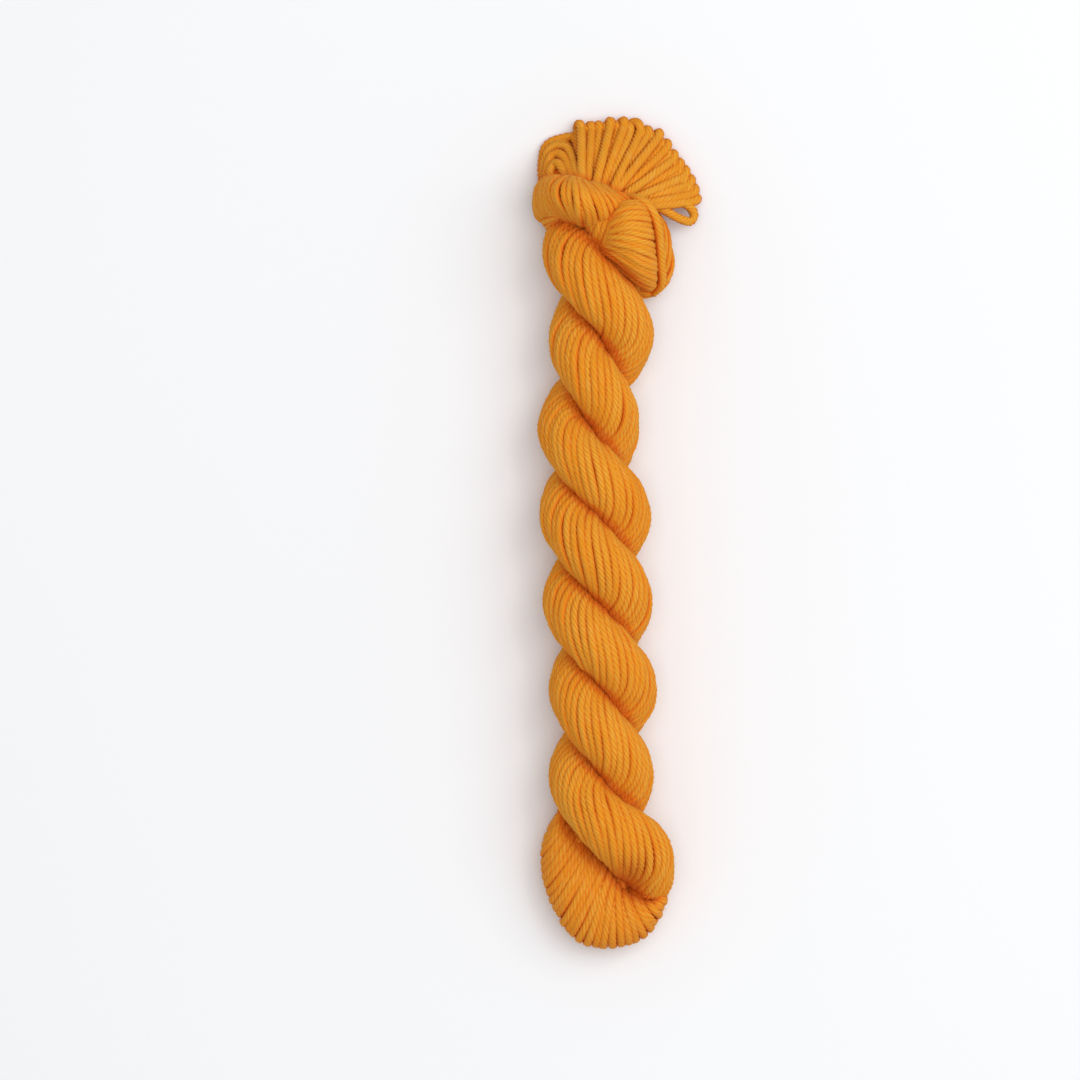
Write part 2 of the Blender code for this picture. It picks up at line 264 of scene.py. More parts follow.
# The turns of the left wrap come from behind the fan's root and go over the knot into its middle. Each rib
# is six points on the surface that they lie on, from the far side to the near side.
LEFT_WRAP_TURNS = 28
LEFT_RIB = 6
PLACE = ("x", "y", "z")
LEFT_WRAP_RIBS = (
    (-0.0118, 0.1058, 0.0028),
    (-0.0150, 0.1050, 0.0030),
    (-0.0186, 0.1020, 0.0042),
    (-0.0196, 0.0985, 0.0050),
    (-0.0188, 0.0950, 0.0040),
    (-0.0150, 0.0925, 0.0030),

    (-0.0120, 0.1064, 0.0065),
    (-0.0165, 0.1062, 0.0085),
    (-0.0196, 0.1030, 0.0115),
    (-0.0203, 0.0990, 0.0130),
    (-0.0192, 0.0950, 0.0115),
    (-0.0162, 0.0925, 0.0080),

    (-0.0118, 0.1059, 0.0100),
    (-0.0150, 0.1063, 0.0150),
    (-0.0180, 0.1036, 0.0195),
    (-0.0185, 0.0995, 0.0215),
    (-0.0172, 0.0960, 0.0190),
    (-0.0141, 0.0938, 0.0130),

    (-0.0108, 0.1048, 0.0135),
    (-0.0128, 0.1058, 0.0205),
    (-0.0155, 0.1036, 0.0262),
    (-0.0158, 0.1003, 0.0284),
    (-0.0143, 0.0966, 0.0260),
    (-0.0112, 0.0932, 0.0185),

    (-0.0090, 0.1044, 0.0150),
    (-0.0106, 0.1056, 0.0245),
    (-0.0128, 0.1028, 0.0310),
    (-0.0127, 0.0992, 0.0326),
    (-0.0106, 0.0952, 0.0295),
    (-0.0080, 0.0924, 0.0215),

    (-0.0074, 0.1040, 0.0155),
    (-0.0086, 0.1052, 0.0265),
    (-0.0090, 0.1023, 0.0332),
    (-0.0086, 0.0985, 0.0345),
    (-0.0070, 0.0945, 0.0312),
    (-0.0052, 0.0915, 0.0225),

    (-0.0058, 0.1034, 0.0155),
    (-0.0068, 0.1044, 0.0265),
    (-0.0055, 0.1011, 0.0335),
    (-0.0042, 0.0975, 0.0345),
    (-0.0030, 0.0940, 0.0312),
    (-0.0024, 0.0905, 0.0235),

    (-0.0038, 0.1028, 0.0150),
    (-0.0045, 0.1039, 0.0250),
    (-0.0018, 0.1008, 0.0312),
    (0.0004, 0.0978, 0.0322),
    (0.0015, 0.0946, 0.0302),
    (0.0014, 0.0915, 0.0255),

    (-0.0008, 0.1025, 0.0135),
    (-0.0012, 0.1035, 0.0215),
    (0.0018, 0.1007, 0.0272),
    (0.0040, 0.0982, 0.0282),
    (0.0048, 0.0957, 0.0268),
    (0.0046, 0.0934, 0.0230),

    (0.0022, 0.1018, 0.0105),
    (0.0020, 0.1030, 0.0165),
    (0.0050, 0.1006, 0.0215),
    (0.0070, 0.0985, 0.0228),
    (0.0074, 0.0968, 0.0215),
    (0.0070, 0.0950, 0.0190),
)

# The turns of the right wrap come up out of the knot's middle, spread over it to the right and go down its
# side. Their ribs have seven points.
RIGHT_WRAP_TURNS = 19
RIGHT_RIB = 7
RIGHT_WRAP_RIBS = (
    (-0.0008, 0.0838, 0.0195),
    (0.0024, 0.0816, 0.0218),
    (0.0062, 0.0781, 0.0214),
    (0.0104, 0.0748, 0.0200),
    (0.0138, 0.0736, 0.0165),
    (0.0146, 0.0738, 0.0110),
    (0.0120, 0.0750, 0.0060),

    (-0.0007, 0.0846, 0.0215),
    (0.0027, 0.0828, 0.0256),
    (0.0067, 0.0797, 0.0264),
    (0.0109, 0.0765, 0.0246),
    (0.0144, 0.0748, 0.0205),
    (0.0150, 0.0747, 0.0140),
    (0.0120, 0.0757, 0.0070),

    (-0.0005, 0.0857, 0.0230),
    (0.0030, 0.0844, 0.0283),
    (0.0074, 0.0820, 0.0299),
    (0.0116, 0.0793, 0.0280),
    (0.0147, 0.0780, 0.0235),
    (0.0153, 0.0777, 0.0150),
    (0.0120, 0.0780, 0.0062),

    (-0.0003, 0.0870, 0.0240),
    (0.0032, 0.0866, 0.0300),
    (0.0077, 0.0855, 0.0321),
    (0.0117, 0.0840, 0.0303),
    (0.0145, 0.0832, 0.0250),
    (0.0151, 0.0830, 0.0155),
    (0.0118, 0.0835, 0.0050),

    (-0.0002, 0.0885, 0.0243),
    (0.0030, 0.0892, 0.0306),
    (0.0075, 0.0897, 0.0329),
    (0.0114, 0.0890, 0.0312),
    (0.0141, 0.0886, 0.0256),
    (0.0147, 0.0884, 0.0158),
    (0.0115, 0.0886, 0.0045),

    (-0.0003, 0.0900, 0.0240),
    (0.0024, 0.0918, 0.0300),
    (0.0066, 0.0936, 0.0326),
    (0.0109, 0.0938, 0.0312),
    (0.0137, 0.0934, 0.0260),
    (0.0143, 0.0932, 0.0162),
    (0.0112, 0.0930, 0.0050),

    (-0.0002, 0.0912, 0.0230),
    (0.0018, 0.0936, 0.0284),
    (0.0055, 0.0960, 0.0310),
    (0.0098, 0.0968, 0.0302),
    (0.0130, 0.0962, 0.0258),
    (0.0137, 0.0956, 0.0170),
    (0.0108, 0.0950, 0.0070),

    (0.0007, 0.0930, 0.0215),
    (0.0027, 0.0953, 0.0262),
    (0.0058, 0.0975, 0.0284),
    (0.0092, 0.0984, 0.0278),
    (0.0122, 0.0977, 0.0242),
    (0.0130, 0.0969, 0.0170),
    (0.0104, 0.0962, 0.0090),
)

# Single turns of yarn that stand clear; two go round the knot's middle.
KNOT_MIDDLE = np.array([-0.001, 0.093, 0.014])
SLACK_TURN = (
    (0.0035, 0.0985, 0.0150),
    (0.0070, 0.0996, 0.0215),
    (0.0104, 0.0992, 0.0255),
    (0.0137, 0.0968, 0.0270),
    (0.0157, 0.0928, 0.0264),
    (0.0167, 0.0872, 0.0234),
    (0.0172, 0.0810, 0.0192),
    (0.0175, 0.0748, 0.0136),
    (0.0150, 0.0718, 0.0090),
)
CROSSING_TURN = (
    (-0.0096, 0.1036, 0.0190),
    (-0.0092, 0.1050, 0.0266),
    (-0.0087, 0.1032, 0.0329),
    (-0.0082, 0.1002, 0.0356),
    (-0.0078, 0.0972, 0.0357),
    (-0.0073, 0.0942, 0.0323),
    (-0.0068, 0.0920, 0.0250),
)
HANGING_LOOP = (
    (0.0080, 0.0982, 0.0150),
    (0.0160, 0.0976, 0.0120),
    (0.0228, 0.0944, 0.0080),
    (0.0264, 0.0936, 0.0056),
    (0.0273, 0.0962, 0.0050),
    (0.0240, 0.0990, 0.0070),
    (0.0150, 0.1002, 0.0112),
)

# The fan: where each loop leaves the knot, the outermost point of its bend, half the gap between its two
# legs there, and how far its plane leans up from the table, in degrees.
FAN_COLUMNS = ("root_x", "root_y", "root_z", "tip_x", "tip_y", "half_gap", "lean")
FAN = (
    (-0.0070, 0.1030, 0.0195, -0.0071, 0.1244, 0.0021, 75),
    (-0.0050, 0.1030, 0.0180, -0.0036, 0.1240, 0.0020, 80),
    (-0.0036, 0.1030, 0.0160, -0.0012, 0.1240, 0.0019, 75),
    (-0.0030, 0.1025, 0.0195, 0.0026, 0.1252, 0.0021, 80),
    (-0.0015, 0.1022, 0.0175, 0.0067, 0.1252, 0.0021, 70),
    (0.0005, 0.1020, 0.0195, 0.0108, 0.1246, 0.0026, 40),
    (0.0012, 0.1015, 0.0165, 0.0143, 0.1225, 0.0020, 60),
    (0.0024, 0.1010, 0.0190, 0.0179, 0.1214, 0.0022, 75),
    (0.0030, 0.1005, 0.0170, 0.0205, 0.1182, 0.0021, 65),
    (0.0040, 0.1000, 0.0195, 0.0226, 0.1148, 0.0021, 60),
    (0.0044, 0.0996, 0.0160, 0.0245, 0.1122, 0.0020, 60),
    (0.0050, 0.0992, 0.0185, 0.0264, 0.1096, 0.0021, 50),
    (0.0054, 0.0986, 0.0165, 0.0280, 0.1067, 0.0020, 55),
    (0.0058, 0.0980, 0.0190, 0.0293, 0.1038, 0.0021, 50),
    (0.0060, 0.0972, 0.0180, 0.0299, 0.1008, 0.0019, 65),
)
FAN_STATIONS = 90

# The lower layer of the fan's loops lies halfway between neighbours.
LOWER_SHORTER = 0.05  # as a share of a loop's length
LOWER_BY = 0.0022  # at its root
LOWER_LEAN = 60

# A loop in its own plane: its share of the way to the bend, how many half gaps it lies aside of the middle
# and beyond the bend's start, and its share of the bow by which it rises on the way.
LOOP_COLUMNS = ("way", "aside", "beyond", "bow")
LOOP_BOW = 0.0012
LOOP = (
    (0.00, 1.0, 0.0, 0.0),
    (0.45, 1.0, 0.0, 1.0),
    (0.80, 1.1, 0.0, 0.5),
    (1.00, 1.0, 0.0, 0.0),
    (1.00, 0.7, 0.7, 0.0),
    (1.00, 0.0, 1.0, 0.0),
    (1.00, -0.7, 0.7, 0.0),
    (1.00, -1.0, 0.0, 0.0),
    (0.75, -1.0, 0.0, 0.0),
    (0.40, -1.2, 0.0, 0.0),
    (0.00, -1.6, 0.0, 0.0),
)

# The loops at the left of the fan lie over on their sides: points along each.
ARCH_POINTS = (10, 10, 9, 7, 8, 7)
ARCHES = (
    (-0.0075, 0.1060, 0.0160),
    (-0.0077, 0.1147, 0.0062),
    (-0.0085, 0.1184, 0.0030),
    (-0.0105, 0.1190, 0.0019),
    (-0.0129, 0.1185, 0.0016),
    (-0.0153, 0.1176, 0.0016),
    (-0.0171, 0.1160, 0.0017),
    (-0.0180, 0.1132, 0.0018),
    (-0.0184, 0.1095, 0.0022),
    (-0.0180, 0.1050, 0.0035),

    (-0.0078, 0.1052, 0.0198),
    (-0.0087, 0.1100, 0.0138),
    (-0.0097, 0.1135, 0.0092),
    (-0.0110, 0.1156, 0.0068),
    (-0.0128, 0.1163, 0.0055),
    (-0.0148, 0.1160, 0.0047),
    (-0.0165, 0.1143, 0.0045),
    (-0.0175, 0.1112, 0.0050),
    (-0.0178, 0.1080, 0.0058),
    (-0.0170, 0.1045, 0.0080),

    (-0.0092, 0.1048, 0.0196),
    (-0.0102, 0.1088, 0.0144),
    (-0.0113, 0.1115, 0.0110),
    (-0.0125, 0.1132, 0.0090),
    (-0.0141, 0.1137, 0.0080),
    (-0.0156, 0.1127, 0.0077),
    (-0.0166, 0.1102, 0.0082),
    (-0.0168, 0.1072, 0.0095),
    (-0.0158, 0.1040, 0.0125),

    (-0.0106, 0.1042, 0.0190),
    (-0.0117, 0.1074, 0.0153),
    (-0.0127, 0.1096, 0.0130),
    (-0.0139, 0.1106, 0.0116),
    (-0.0151, 0.1098, 0.0112),
    (-0.0158, 0.1076, 0.0118),
    (-0.0153, 0.1042, 0.0142),

    (-0.0080, 0.1060, 0.0150),
    (-0.0088, 0.1125, 0.0058),
    (-0.0100, 0.1156, 0.0032),
    (-0.0121, 0.1172, 0.0026),
    (-0.0146, 0.1168, 0.0024),
    (-0.0165, 0.1150, 0.0024),
    (-0.0173, 0.1120, 0.0030),
    (-0.0166, 0.1070, 0.0060),

    (-0.0092, 0.1055, 0.0150),
    (-0.0104, 0.1100, 0.0080),
    (-0.0118, 0.1130, 0.0055),
    (-0.0138, 0.1140, 0.0048),
    (-0.0155, 0.1124, 0.0048),
    (-0.0160, 0.1095, 0.0060),
    (-0.0150, 0.1050, 0.0095),
)

# The inner wool below them.
ARCHES_HEART = (
    (-0.0108, 0.1045, 0.0110, 0.0045, 0.0050),
    (-0.0130, 0.1090, 0.0062, 0.0040, 0.0042),
    (-0.0136, 0.1130, 0.0036, 0.0034, 0.0030),
)

# How far the inner wool of these lies inside their sections.
FOOT_INSET = 2.1 * YARN
LEFT_WRAP_INSET = 2.7 * YARN
RIGHT_WRAP_INSET = 2.6 * YARN
ARCHES_INSET = 0

# The studio.
PAPER = 3  # half of the sheet's side
ROOM_LIGHT = 0.54

# Turns of yarn that lie side by side: their centre lines and outward directions by turn and station, the
# side that they show, and how much painted shade they get as wool counted as buried, all over and in the
# dimple.
FIELDS = "name centres outward facing girth pressed tone dimple_tone"
Strand = namedtuple("Strand", FIELDS, defaults=(True, 0, 0))


def columns(rows, names):
    """The rows as an array, checked against the names of their columns."""
    table = np.array(rows, float)
    assert table.shape[1] == len(names)
    return table


def unit(vectors):
    """Each vector divided by its own length."""
    return vectors / np.linalg.norm(vectors, axis=-1, keepdims=True)


def square_to(along, direction):
    """The direction less its part along the unit direction along, as a unit direction."""
    return unit(direction - along * (along * direction).sum(axis=-1, keepdims=True))


def running_length(path):
    """Length along a path up to each point: the running sum of the distances between its points."""
    steps = np.linalg.norm(np.diff(path[..., :3], axis=-2), axis=-1)
    return np.concatenate([np.zeros(steps.shape[:-1] + (1,)), np.cumsum(steps, axis=-1)], axis=-1)


def evenly(curve, count):
    """A curve's columns at a number of places that are evenly spread along its length."""
    length = running_length(curve)
    places = np.linspace(0, length[-1], count)
    return np.column_stack([np.interp(places, length, column) for column in curve.T])


def through(rows, step=STEP, count=None):
    """A Catmull-Rom curve through the rows, one step between stations, or a number of stations.
    Between two rows each column is a cubic whose slope at a row is half the difference of its neighbours."""
    padded = np.vstack([2 * rows[0] - rows[1], rows, 2 * rows[-1] - rows[-2]])
    before, start, end, after = (padded[k : k + len(rows) - 1, None] for k in range(4))
    t = np.linspace(0, 1, BENDS, endpoint=False)[:, None]
    bend = 2 * before - 5 * start + 4 * end - after
    turn = 3 * start - before - 3 * end + after
    curve = start + 0.5 * (t * (end - before) + t**2 * bend + t**3 * turn)
    curve = np.vstack([curve.reshape(-1, rows.shape[1]), rows[-1:]])
    return evenly(curve, count or round(running_length(curve)[-1] / step))


def ply(phase, lobe):
    """Sections of one ply: a left-handed helix round the hank's axis, at the angle
    2 pi (place along Y - where the plies lie abreast) / lead + phase, and on into its lobe of the fold."""
    turns = (TWIST_FROM - TWIST_TO) / LEAD
    along = np.linspace(TWIST_FROM, TWIST_TO, round(turns * STEPS_A_TURN))
    fine = through(columns(BODY, BODY_COLUMNS), BODY_STEP)
    order = fine[:, 0].argsort()
    across, reach = (np.interp(along, fine[order, 0], fine[order, k]) for k in (1, 2))
    angle = 2 * math.pi * (along - PLY_ABREAST_AT) / LEAD + phase
    out = reach * (1 - PLY_SHARE)
    girth = reach * PLY_SHARE
    helix = [across + out * np.cos(angle), along, reach - SETTLE + out * np.sin(angle), girth, girth]
    return np.vstack([np.column_stack(helix), columns(lobe, COLUMNS)])


def round_off(sections, rings):
    """Adds shrinking sections past each end, on a quarter of an oval, so that a bundle closes in a dome."""
    along = unit(np.gradient(sections[:, :3], axis=0))
    lean = np.linspace(0, math.pi / 2, rings + 2)[1:-1]
    ends = []
    for last, onward in ((sections[0], -along[0]), (sections[-1], along[-1])):
        dome = last * np.ones((rings, 1))
        dome[:, :3] += onward * (last[4] * np.sin(lean))[:, None]
        dome[:, 3:] *= np.cos(lean)[:, None]
        ends.append(dome)
    return np.vstack([ends[0][::-1], sections, ends[1]])


def frames(path, reference):
    """Wide and thick unit directions at each station of a path, wide being nearest to the reference, and
    the angle by which that pair has rolled about the path so far."""
    along = unit(np.gradient(path, axis=0))
    wide = square_to(along, reference)
    thick = np.cross(along, wide)
    roll = np.cumsum((np.gradient(wide, axis=0) * thick).sum(axis=1))
    return wide, thick, roll


def slow_waves(random, length, count, waves):
    """For each turn, 1.3 times the mean of three sine waves of seeded length and phase."""
    per_metre = 1 / random.uniform(*waves, (3, count, 1))
    phases = random.uniform(0, 2 * math.pi, (3, count, 1))
    return np.sin(2 * math.pi * per_metre * length + phases).mean(axis=0) * 1.3


def depth_waves(random, length, spacing, girth, amount):
    """How far out each turn lies: it wanders by the amount, and where the turns are nearer than CROWDED
    radii, each second one lies deeper, by the share of that distance that is missing."""
    turns = spacing.shape[0]
    crowding = np.clip(1 - spacing / (CROWDED * girth), 0, 1)
    second = np.arange(turns)[:, None] % 2
    return amount * slow_waves(random, length, turns, DEPTH_WAVES) - SINKS_BY * crowding * second


def wound(sections, reference, turns, twist, girth, random):
    """Centre lines and outward directions of the turns of yarn round a bundle. Turn k lies at the angle
    2 pi k / turns + twist * length, less the roll of the frame, on an oval one yarn radius inside the
    section, and it wanders a little round it and in depth. The angle is eased by a quarter of
    (a^2 - b^2) / (a^2 + b^2) sin 2 angle, which keeps the turns nearly even round an oval of half sizes
    a and b."""
    sections = round_off(through(sections), DOME_RINGS)
    middle = sections[:, :3]
    wide, thick, roll = frames(middle, reference)
    length = running_length(middle)
    half = np.maximum(sections[:, 3:] - girth, LEAST_HALF)
    spacing = math.pi * half.sum(axis=1) / turns * np.ones((turns, 1))
    share = 2 * math.pi / turns
    angle = share * np.arange(turns)[:, None] + twist * length - roll
    angle = angle + ROUND_WANDER * share * slow_waves(random, length, turns, WANDER_WAVES)
    depth = depth_waves(random, length, spacing, girth, WOUND_DEPTH)
    a, b = half.T
    angle = angle + (a**2 - b**2) / (a**2 + b**2) / 4 * np.sin(2 * angle)
    cosine, sine = np.cos(angle)[..., None], np.sin(angle)[..., None]
    centres = middle + (a + depth)[..., None] * cosine * wide + (b + depth)[..., None] * sine * thick
    return centres, unit(b[:, None] * cosine * wide + a[:, None] * sine * thick)


def foot_ribs():
    """The foot's upright ovals as rows of points, one yarn radius inside its outline:
    middle - half span * cos a + (middle_z + half_z sin a) up, where the span goes from the crease to the
    edge. The first index runs along the edge, three ovals to a turn."""
    rows = through(columns(FOOT, FOOT_COLUMNS), count=3 * FOOT_TURNS)[:, None]
    edge, crease = rows[..., :2], rows[..., 3:5]
    angle = np.radians(np.linspace(*FOOT_ROUND, LAID_STATIONS))
    half = (edge - crease) / 2 - unit(edge - crease) * YARN
    flat = (edge + crease) / 2 - half * np.cos(angle)[:, None]
    height = rows[..., 2] + (rows[..., 5] - YARN) * np.sin(angle)
    return np.concatenate([flat, height[..., None]], axis=-1)


def laid_over(ribs, turns, girth, wander, random):
    """Centre lines and outward directions of turns laid side by side through a row of ribs, spread evenly
    along the ribs' middles. Outward is the direction along a turn crossed with that to the next."""
    first = ribs.shape[1] // 2
    rows = np.roll(ribs, -first, axis=1).reshape(len(ribs), -1)
    spread = through(rows, count=turns).reshape(turns, -1, 3)
    spread = np.roll(spread, first, axis=1)
    centres = np.array([through(row, count=LAID_STATIONS) for row in spread])
    across = np.gradient(centres, axis=0)
    outward = unit(np.cross(np.gradient(centres, axis=1), across))
    length = running_length(centres)
    depth = depth_waves(random, length, np.linalg.norm(across, axis=-1), girth, LAID_DEPTH)
    aside = wander * slow_waves(random, length, turns, WANDER_WAVES)
    return centres + depth[..., None] * outward + aside[..., None] * across, outward


def drawn(points):
    """How strongly each point is drawn into the dimple: exp(-(distance in plan / spread)^2)."""
    return np.exp(-(((points - DIMPLE)[..., :2] / DIMPLE_SPREAD) ** 2).sum(axis=-1, keepdims=True))


def drawn_in(points):
    """Points moved towards the dimple in plan, and down, as strongly as they are drawn."""
    way = DIMPLE_PULL * (DIMPLE - points) * (1, 1, 0) - DIMPLE_DEPTH * UP
    return points + drawn(points) * way


def fan_loop(row):
    """Centre line of one loop of the fan, and the direction square to its plane. The plane holds the way
    from root to tip and a span that leans up from the table, and a point of the loop is
    root + way * (shoulder - root) + half gap * (aside * span + beyond * level) + bow up, where level is
    the way's direction in plan and the shoulder is half a gap short of the tip."""
    root, (tip_x, tip_y, half_gap, lean) = row[:3], row[3:]
    level = unit(np.array([tip_x - root[0], tip_y - root[1], 0]))
    rise = math.radians(lean)
    tip_z = LOOSE_YARN + half_gap * math.sin(rise)
    tip = np.array([tip_x, tip_y, tip_z]) - level * LOOSE_YARN
    clockwise = np.array([level[1], -level[0], 0])
    span = math.cos(rise) * clockwise + math.sin(rise) * UP
    reach = tip - level * half_gap - root
    way, aside, beyond, bow = columns(LOOP, LOOP_COLUMNS).T[..., None]
    points = root + way * reach + half_gap * (aside * span + beyond * level) + bow * LOOP_BOW * UP
    return through(points, count=FAN_STATIONS), np.cross(level, span)


def added(name, data):
    """A new object in the scene, at the origin."""
    made = bpy.data.objects.new(name, data)
    bpy.context.scene.collection.objects.link(made)
    return made


def tube_faces(tubes, stations, sides):
    """The faces of tubes whose points count tube by tube and ring by ring, as corners and as how many each
    face has: quads between neighbouring rings, and one flat face over each end."""
    ring = np.arange(sides)
    after = (ring + 1) % sides
    base = (np.arange(tubes)[:, None] * stations + np.arange(stations - 1)).reshape(-1, 1) * sides
    quads = np.stack([base + ring, base + after, base + sides + after, base + sides + ring], axis=-1)
    first = np.arange(tubes)[:, None] * stations * sides
    caps = np.concatenate([first + ring[::-1], first + (stations - 1) * sides + ring])
    counts = np.concatenate([np.full(quads.size // 4, 4), np.full(len(caps), sides)])
    return np.concatenate([quads.ravel(), caps.ravel()]), counts


def tube_mesh(name, points, material):
    """A smooth mesh object of closed tubes from their points, by tube, ring and place round the ring. The
    hank's middle is moved to the frame's origin."""
    corners, counts = tube_faces(*points.shape[:3])
    mesh = bpy.data.meshes.new(name)
    mesh.vertices.add(points.size // 3)
    mesh.vertices.foreach_set("co", (points - (ORIGIN_X, 0, 0)).astype(np.float32).ravel())
    mesh.loops.add(len(corners))
    mesh.loops.foreach_set("vertex_index", corners.astype(np.int32))
    mesh.polygons.add(len(counts))
    mesh.polygons.foreach_set("loop_start", (np.cumsum(counts) - counts).astype(np.int32))
    mesh.polygons.foreach_set("use_smooth", np.ones(len(counts), bool))
    mesh.update(calc_edges=True)
    mesh.validate()
    mesh.materials.append(material)
    return added(name, mesh)


def fullness(strands):
    """How full of yarn the space is, as shares on a grid of cells: each stretch of yarn adds its volume,
    pi * girth^2 * its length, to the cell that it lies in, and a moving mean over three cells, taken three
    times along each axis, spreads it. Gives the grid and its lowest corner."""
    places, volumes = [], []
    for turns in strands:
        stretches = np.gradient(running_length(turns.centres), axis=1)
        places.append(turns.centres.reshape(-1, 3))
        volumes.append(math.pi * turns.girth**2 * stretches.ravel())
    places = np.concatenate(places)
    lowest = places.min(axis=0) - MARGIN_CELLS * CELL
    shape = np.ceil((places.max(axis=0) + MARGIN_CELLS * CELL - lowest) / CELL).astype(int)
    shares = np.zeros(shape)
    cells = ((places - lowest) / CELL).astype(int)
    np.add.at(shares, tuple(cells.T), np.concatenate(volumes))
    for axis in 3 * (0, 1, 2):
        shares = (np.roll(shares, 1, axis) + shares + np.roll(shares, -1, axis)) / 3
    return shares / CELL**3, lowest


def buried(points, outward, grid, lowest):
    """How deep wool lies under other wool: the mean share of yarn at a few distances outward of each point,
    each read off the grid by weighting the eight cells round it."""
    total = 0
    for reach in BURIED_REACHES:
        place = np.clip((points + reach * outward - lowest) / CELL - 0.5, 0, np.array(grid.shape) - 1.001)
        cell = place.astype(int)
        part = place - cell
        for corner in np.ndindex(2, 2, 2):
            weight = np.where(corner, part, 1 - part).prod(axis=-1)
            total = total + weight * grid[tuple(np.moveaxis(cell + corner, -1, 0))]
    return total / len(BURIED_REACHES)


def yarn(turns, wool_map, material, random):
    """A mesh of plied turns round their centre lines. A station's section has a crown and a furrow for each
    ply, at the radius girth or girth * furrow, and turns by about -2 pi * length / pitch. Where the yarn
    is pressed, each direction round it moves outward by PRESSED * (1/2 - o^2), where o is its outward part,
    or 0 on the inner half. Flat spots on the table differ a little in height from turn to turn. The marks
    are for the material, which paints shade from them: in the furrows, on the sides and where wool is
    buried."""
    count, girth = len(turns.centres), turns.girth
    pitch, furrow, opened = (PITCH, FURROW, 0) if turns.pressed else (LOOSE_PITCH, LOOSE_FURROW, LOOSE_OPEN)
    centres = turns.centres.copy()
    centres[..., 2] = np.maximum(centres[..., 2], RESTS_AT * girth)
    along = unit(np.gradient(centres, axis=1))
    side = square_to(along, turns.outward)
    lift = np.cross(along, side)
    side, lift, facing = side[:, :, None], lift[:, :, None], turns.facing[:, :, None]
    length = running_length(centres)
    start = random.uniform(0, 2 * math.pi, (count, 1))
    tightness = random.uniform(*TIGHTNESS, (count, 1))
    spin = start - 2 * math.pi * length * tightness / pitch
    spin = spin + UNEVEN_TWIST * slow_waves(random, length, count, TWIST_WAVES)
    corner = np.arange(SECTION)
    place = 2 * math.pi * corner / SECTION
    angle = (spin[..., None] + place)[..., None]
    round_it = np.cos(angle) * side + np.sin(angle) * lift
    if turns.pressed:
        out = np.maximum((round_it * side).sum(axis=-1, keepdims=True), 0)
        round_it = round_it + PRESSED * (0.5 - out**2) * side
    uneven = 1 + UNEVEN_GIRTH * slow_waves(random, length, count, GIRTH_WAVES)[..., None]
    radius = girth * np.where(corner % 2, furrow, 1.0) * uneven
    points = centres[:, :, None] + radius[..., None] * round_it
    points[..., 2] = np.maximum(points[..., 2], REST_STEP * (np.arange(count) % 3)[:, None, None])
    # Painted shade: how much more buried the whole turn counts, and more in the dimple.
    deeper = turns.tone + turns.dimple_tone * drawn(points)[..., 0]
    marks = {
        "crown": 1.0 - corner % 2,
        "dye": random.uniform(0, 1, (count, 1, 1)),
        "length": (length + start)[..., None],
        "section_x": np.cos(place),
        "section_y": np.sin(place),
        # Loose yarn counts as more open, so its sides get less painted shade.
        "outside": (round_it * facing).sum(axis=-1) + opened,
        "buried": buried(points, facing, *wool_map) + deeper,
    }
    made = tube_mesh(turns.name, points, material)
    for mark, values in marks.items():
        attribute = made.data.attributes.new(mark, "FLOAT", "POINT")
        values = np.broadcast_to(values, points.shape[:3])
        attribute.data.foreach_set("value", values.astype(np.float32).ravel())
    return made


def loose_fibres(strands, wool_map, material, random):
    """Single fibres that stand out of open wool: each is a bent tube that thins towards its tip,
    root + length * t * (cos lean * across + sin lean * along) + bend * t^2 * sideways
    - droop * length * t^2 * |sin lean| * across, for t from 0 to 1, where across is a direction square to
    the yarn, on the side that it shows."""
    roots, acrosses, alongs = [], [], []
    for turns in strands:
        centres = turns.centres
        count = round(FIBRES_A_METRE * running_length(centres)[:, -1].sum())
        turn = random.integers(0, centres.shape[0], count)
        station = random.integers(2, centres.shape[1] - 2, count)
        along = unit(centres[turn, station + 1] - centres[turn, station - 1])
        side = square_to(along, turns.facing[turn, station])
        angle = random.uniform(-FIBRE_ROUND, FIBRE_ROUND, (count, 1))
        across = np.cos(angle) * side + np.sin(angle) * np.cross(along, side)
        roots.append(centres[turn, station] + FIBRE_ROOT * turns.girth * across)
        acrosses.append(across)
        alongs.append(along)
    root, across, along = (np.concatenate(parts) for parts in (roots, acrosses, alongs))
    in_the_open = buried(root, across, *wool_map) < OPEN_WOOL
    root, across, along = (part[in_the_open][:, None] for part in (root, across, along))
    each = (len(root), 1, 1)
    t = np.linspace(0, 1, FIBRE_STATIONS)[None, :, None]
    length = random.uniform(*FIBRE_LENGTHS, each)
    lean = random.uniform(-FIBRE_LEAN, FIBRE_LEAN, each)
    bend = random.uniform(-FIBRE_BEND, FIBRE_BEND, each)
    sideways = np.cross(along, across)
    paths = root + length * t * (np.cos(lean) * across + np.sin(lean) * along) + bend * t**2 * sideways
    paths -= FIBRE_DROOP * length * t**2 * np.abs(np.sin(lean)) * across
    heading = unit(np.gradient(paths, axis=1))
    wide = unit(np.cross(heading, sideways + FIBRE_SKEW * along))
    thick = np.cross(heading, wide)
    angle = 2 * math.pi * np.arange(FIBRE_SIDES)[:, None] / FIBRE_SIDES
    ring = np.cos(angle) * wide[:, :, None] + np.sin(angle) * thick[:, :, None]
    points = paths[:, :, None] + FIBRE * (1 - FIBRE_TAPER * t[..., None]) * ring
    points[..., 2] = np.maximum(points[..., 2], 0)
    return tube_mesh("loose_fibres", points, material)


